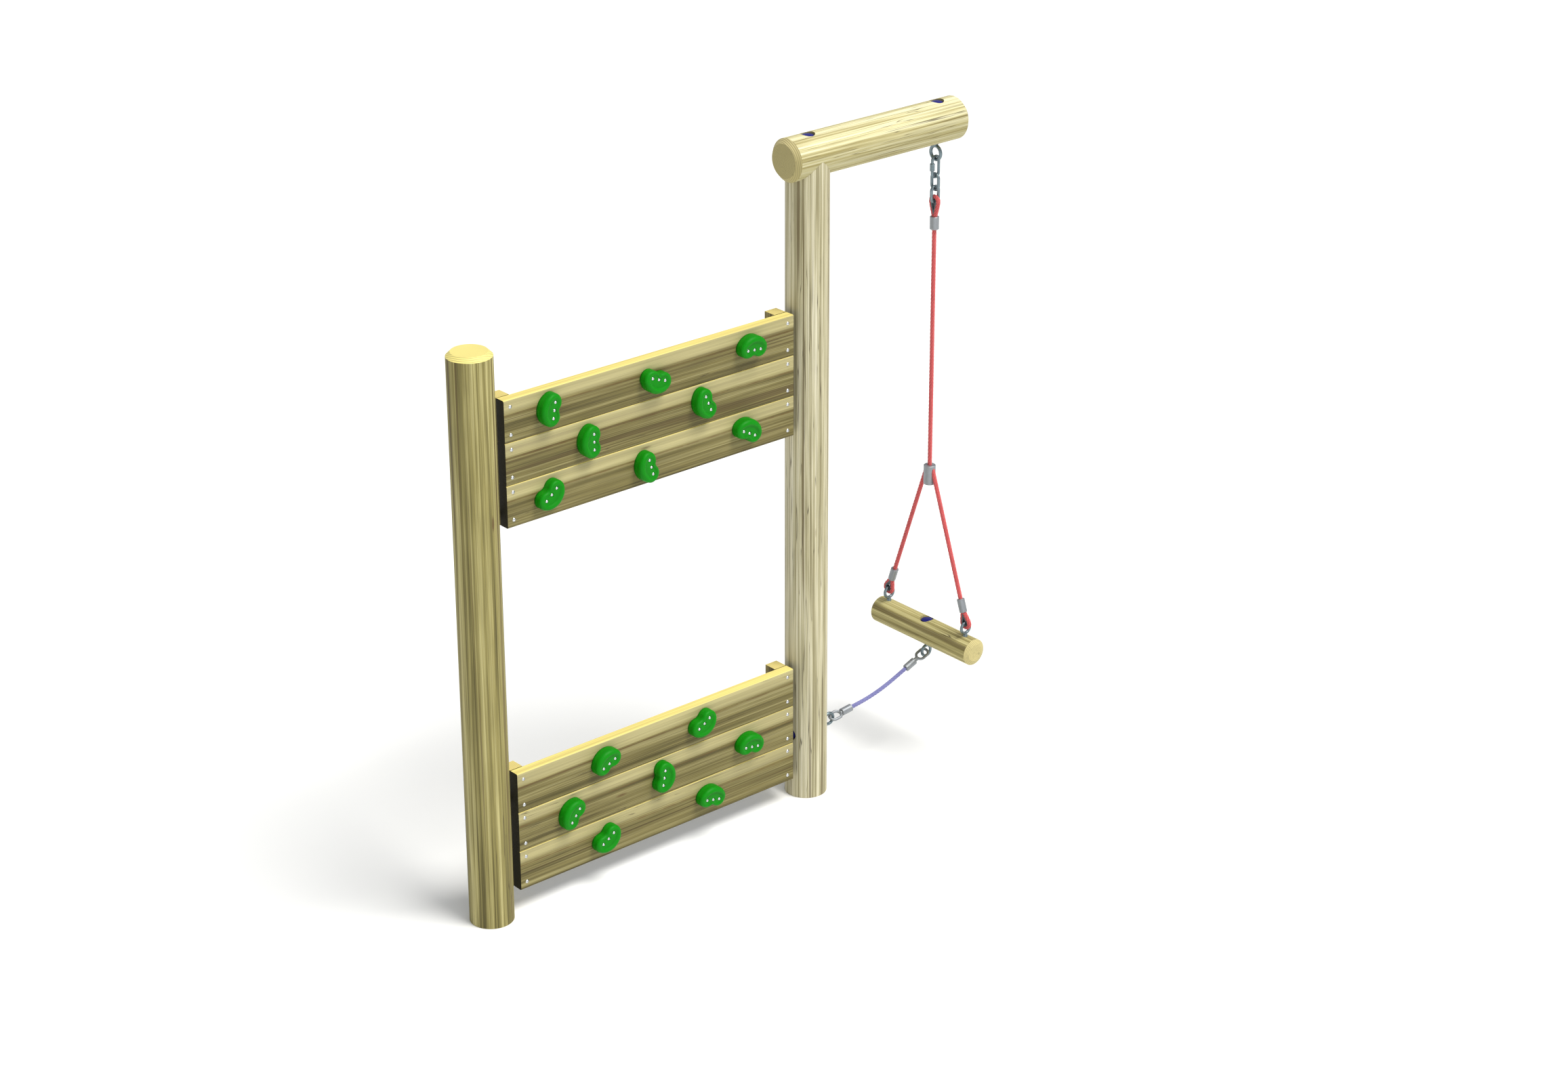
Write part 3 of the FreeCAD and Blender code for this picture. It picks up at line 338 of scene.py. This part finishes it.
def spline_line(route, step):
    """Points read from the NURBS spline whose control points are the route, about a step apart, and how far
    along it each one is."""
    curve = bpy.data.curves.new("route", "CURVE")
    curve.dimensions, curve.resolution_u = "3D", SPLINE_RESOLUTION
    spline = curve.splines.new("NURBS")
    spline.points.add(len(route) - 1)
    for point, place in zip(spline.points, route):
        point.co = (*place, 1.0)
    spline.order_u = 3
    spline.use_endpoint_u = True
    holder = bpy.data.objects.new("route", curve)
    mesh = bpy.data.meshes.new_from_object(holder)
    read = [v.co.copy() for v in mesh.vertices]
    bpy.data.objects.remove(holder)
    bpy.data.meshes.remove(mesh)
    bpy.data.curves.remove(curve)
    points, runs, along = [read[0]], [0.0], 0.0
    for a, b in zip(read, read[1:]):
        along += (b - a).length
        if along - runs[-1] >= step:
            points.append(b)
            runs.append(along)
    points[-1], runs[-1] = read[-1], along
    return points, runs


def transported_frames(points):
    """A tangent, normal and side at every point, without sudden twist."""
    tangents = []
    for i in range(len(points)):
        a, b = points[max(0, i - 1)], points[min(len(points) - 1, i + 1)]
        tangents.append((b - a).normalized())
    start = Vector((0, 1, 0)) if abs(tangents[0].y) < 0.9 else Vector((1, 0, 0))
    normal = (start - tangents[0] * start.dot(tangents[0])).normalized()
    frames = []
    for t in tangents:
        normal = (normal - t * normal.dot(t)).normalized()
        frames.append((t, normal, t.cross(normal)))
    return frames


def tube(verts, faces, points, radius, sides):
    base = len(verts)
    for point, (_, normal, side) in zip(points, transported_frames(points)):
        for k in range(sides):
            a = 2 * math.pi * k / sides
            verts.append(point + normal * (radius * math.cos(a)) + side * (radius * math.sin(a)))
    rows = len(points)
    for i in range(rows - 1):
        for k in range(sides):
            a, b = base + i * sides + k, base + i * sides + (k + 1) % sides
            faces.append((a, b, b + sides, a + sides))
    faces.append(tuple(base + k for k in reversed(range(sides))))
    faces.append(tuple(base + (rows - 1) * sides + k for k in range(sides)))


def laid_rope(name, route, radius, material, step=0.0045, sides=8):
    """A rope of six strands laid round its centreline, and that centreline."""
    points, runs = spline_line(route, step)
    scale = radius / ROPE_R
    frames = transported_frames(points)
    verts, faces = [], []
    for strand in range(STRANDS):
        phase = 2 * math.pi * strand / STRANDS
        line = []
        for p, along, (_, n, s) in zip(points, runs, frames):
            a = phase + 2 * math.pi * along / (LAY_LENGTH * scale)
            line.append(p + (n * math.cos(a) + s * math.sin(a)) * (STRAND_HELIX_R * scale))
        tube(verts, faces, line, STRAND_R * scale, sides)
    tube(verts, faces, points, STRAND_HELIX_R * scale * 0.75, 8)
    return add_mesh(name, verts, faces, material), points, runs[-1]


# ---- climbing holds ------------------------------------------------------------------------------
def bean_outline(count):
    """Points round the hold's outline, counterclockwise, in (u, v) with the notch at +v."""
    lobe, u0 = HOLD_LOBE_R, HOLD_LOBE_U
    notch_r = ((lobe - HOLD_NOTCH) ** 2 + u0 ** 2 - lobe ** 2) / (2 * HOLD_NOTCH)
    notch_v = notch_r + lobe - HOLD_NOTCH
    drop = HOLD_W - lobe
    back_v = (u0 ** 2 - (drop - lobe) ** 2) / (2 * (drop - lobe))
    touch_u = u0 * notch_r / (lobe + notch_r)
    out = []
    for k in range(count):
        a = 2 * math.pi * k / count
        direction = np.array([math.cos(a), math.sin(a)])
        reach = 0.0
        for r in np.linspace(0.005, 0.070, 261):
            u, v = direction * r
            in_lobe = math.hypot(abs(u) - u0, v) <= lobe
            in_middle = (abs(u) <= touch_u and math.hypot(u, v - notch_v) >= notch_r and v < notch_v
                         and math.hypot(u, v - back_v) <= back_v + drop)
            in_back = math.hypot(u, v - back_v) <= back_v + drop and v < 0 and abs(u) < u0 + 0.02
            if in_lobe or in_middle or in_back:
                reach = r
        out.append(reach)
    out = np.array(out)
    for _ in range(2):
        out = (np.roll(out, 1) + 2 * out + np.roll(out, -1)) / 4
    return out


OUTLINE = bean_outline(HOLD_AROUND)


def hold_height(v, depth):
    """Height off the wall at a distance in from the outline: a rounded side, then a rolled rim that is
    tallest at the back, then a face that is dished and slopes down to the notch."""
    back = 0.5 - 0.5 * math.tanh((v + 0.012) / 0.014)
    rim_r = 0.011 + 0.004 * back
    crest = 0.0345 + 0.0055 * back
    t = min(1.0, depth / rim_r)
    rounded = crest - rim_r * (1 - math.sqrt(max(0.0, 1 - (1 - t) ** 2)))
    inner = max(0.0, min(1.0, (depth - rim_r) / 0.012))
    blend_in = inner * inner * (3 - 2 * inner)
    face = 0.0330 - 0.0012 * math.tanh(v / 0.02)
    return rounded + (face - rounded) * blend_in


def sculpted_hold(name, centre, angle):
    """The hold as it was moulded: steep sides, a rolled rim and a dished face with three screw seats."""
    around = len(OUTLINE)
    insets = [1 - math.cos(math.pi / 2 * k / (HOLD_INSET_ROWS - 1)) for k in range(HOLD_INSET_ROWS)]
    verts, faces = [], []

    def ring(inset, height):
        for k in range(around):
            a = 2 * math.pi * k / around
            r = OUTLINE[k] * (1 - inset)
            u, v = r * math.cos(a), r * math.sin(a)
            y = -height if height is not None else -hold_height(v, OUTLINE[k] * inset)
            for m in (-1, 0, 1):
                if math.hypot(u - m * HOLD_SCREW_PITCH, v - HOLD_SCREW_V) < HOLD_SEAT_R:
                    y = max(y, -HOLD_SEAT_HEIGHT)
            verts.append((u, y, v))
    for height in HOLD_SIDE_HEIGHTS:
        ring(0.0, height)
    for inset in insets[:-1]:
        ring(inset, None)
    verts.append((0.0, -hold_height(0.0, OUTLINE[around // 4]), 0.0))
    rows = len(HOLD_SIDE_HEIGHTS) + len(insets) - 1
    for j in range(rows - 1):
        for k in range(around):
            a, b = j * around + k, j * around + (k + 1) % around
            faces.append((a, b, b + around, a + around))
    last, tip = (rows - 1) * around, len(verts) - 1
    for k in range(around):
        faces.append((last + k, last + (k + 1) % around, tip))
    faces.append(tuple(reversed(range(around))))
    obj = add_mesh(name, verts, faces, M_HOLD)
    turn = Matrix.Rotation(-math.radians(angle - 90), 4, "Y")
    obj.matrix_world = Matrix.Translation(centre) @ turn
    return obj


for panel, bottom, holds in (("upper", UPPER_Z, UPPER_HOLDS), ("lower", LOWER_Z, LOWER_HOLDS)):
    for number, (x, z, angle) in enumerate(holds, 1):
        centre = Vector((PANEL_MID_X + x / 1000, PANEL_FRONT_Y, bottom + z / 1000))
        node = "%s_hold_%d" % (panel, number)
        piece = sculpted_hold("sculpted_" + node, centre, angle)
        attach(piece, "frame")
        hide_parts(node)


# ---- trapeze ropes -------------------------------------------------------------------------------
def eye_route(centre, away, side, throat, corners=5):
    """Control points of a rope eye: in along the ferrule, round the thimble and back to the throat."""
    start = math.acos(LOOP_R / throat)
    turn = 2 * (math.pi - start) / corners
    reach = LOOP_R / math.cos(turn / 2)
    out = [centre + away * (throat + FERRULE_L), centre + away * throat]
    for k in range(corners):
        a = start + turn * (k + 0.5)
        out.append(centre + away * (reach * math.cos(a)) + side * (reach * math.sin(a)))
    return out + [centre + away * throat]


crown = Vector((HANG_X, 0, CROWN_Z))
down = Vector((0, 0, -1))
main_route = [Vector((HANG_X, 0, ROPE_END_Z))] + eye_route(crown, down, Vector((0, 1, 0)), TOP_THROAT)
main_rope, main_line, main_length = laid_rope("main_rope_laid", main_route, ROPE_R, M_ROPE)
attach(main_rope, "trapeze_rope")
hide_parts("main_rope")

slope = math.atan2(EYE_Y, LEGS_MEET_Z - LEG_EYE_Z)
for sign, label in ((-1, "near"), (1, "far")):
    up = Vector((0, -sign * math.sin(slope), math.cos(slope)))
    across = Vector((0, math.cos(slope), sign * math.sin(slope)))
    eye = Vector((HANG_X, sign * EYE_Y, LEG_EYE_Z)) + up * LEG_EYE_LIFT
    throat = eye + up * LEG_THROAT
    top = throat + up * ((LEG_TOP_Z - throat.z) / up.z)
    route = [top] + eye_route(eye, up, across, LEG_THROAT)
    leg, line, length = laid_rope("leg_rope_%s_laid" % label, route, ROPE_R, M_ROPE)
    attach(leg, "trapeze_rope")
    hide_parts("leg_rope_" + label)

# ---- tether --------------------------------------------------------------------------------------
route = [Vector((x / 1000, 0, z / 1000)) for x, z in TETHER_ROUTE]
tether, line, length = laid_rope("tether_rope_laid", route, TETHER_R, M_TETHER, 0.004)
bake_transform(tether)
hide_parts("tether_rope_lower", "tether_rope_upper")


# ---- floor, light, camera ------------------------------------------------------------------------
floor = add_mesh("floor", [(-30, -30, -0.001), (30, -30, -0.001), (30, 30, -0.001), (-30, 30, -0.001)],
                 [(0, 1, 2, 3)], Shader("floor_pale").done((0.90, 0.90, 0.89), 0.9), False)


SUN_ENERGY, SUN_ANGLE, SUN_AIM, SUN_COLOUR = 3.0, 28, (-0.22, 0.50, -1.0), (1.0, 0.985, 0.95)
FILL_PLACE, FILL_TARGET, FILL_SIZE, FILL_WATTS = (-3.5, -7.0, 3.2), (-0.3, 0, 1.1), 4.0, 90
FILL_COLOUR, SKY_COLOUR, SKY_STRENGTH = (0.94, 0.97, 1.0), (0.95, 0.97, 1.0, 1.0), 0.50
CAMERA_LENS, CAMERA_SENSOR = 76.28, 36.0
CAMERA_PLACE, CAMERA_AIM = (-6.9526, -7.8921, 5.6419), (0.59905, 0.69019, -0.40592)


def area_light(name, place, target, size, watts, colour):
    data = bpy.data.lights.new(name, "AREA")
    data.shape, data.size, data.energy, data.color = "DISK", size, watts, colour
    light = bpy.data.objects.new(name, data)
    light.location = place
    light.rotation_mode = "QUATERNION"
    light.rotation_quaternion = (Vector(target) - Vector(place)).to_track_quat("-Z", "Y")
    scene.collection.objects.link(light)
    return light


sun_data = bpy.data.lights.new("key", "SUN")
sun_data.energy, sun_data.angle, sun_data.color = SUN_ENERGY, math.radians(SUN_ANGLE), SUN_COLOUR
sun = bpy.data.objects.new("key", sun_data)
sun.rotation_mode = "QUATERNION"
sun.rotation_quaternion = Vector(SUN_AIM).to_track_quat("-Z", "Y")
scene.collection.objects.link(sun)
area_light("fill", FILL_PLACE, FILL_TARGET, FILL_SIZE, FILL_WATTS, FILL_COLOUR)
world = bpy.data.worlds.new("studio")
world.use_nodes = True
world.node_tree.nodes["Background"].inputs[0].default_value = SKY_COLOUR
world.node_tree.nodes["Background"].inputs[1].default_value = SKY_STRENGTH
scene.world = world
scene.view_settings.view_transform = "Standard"

camera_data = bpy.data.cameras.new("photo_camera")
camera_data.lens, camera_data.sensor_width = CAMERA_LENS, CAMERA_SENSOR
camera_data.clip_start, camera_data.clip_end = 0.1, 200.0
camera = bpy.data.objects.new("photo_camera", camera_data)
camera.location = CAMERA_PLACE
camera.rotation_mode = "QUATERNION"
camera.rotation_quaternion = Vector(CAMERA_AIM).to_track_quat("-Z", "Y")
scene.collection.objects.link(camera)
scene.camera = camera
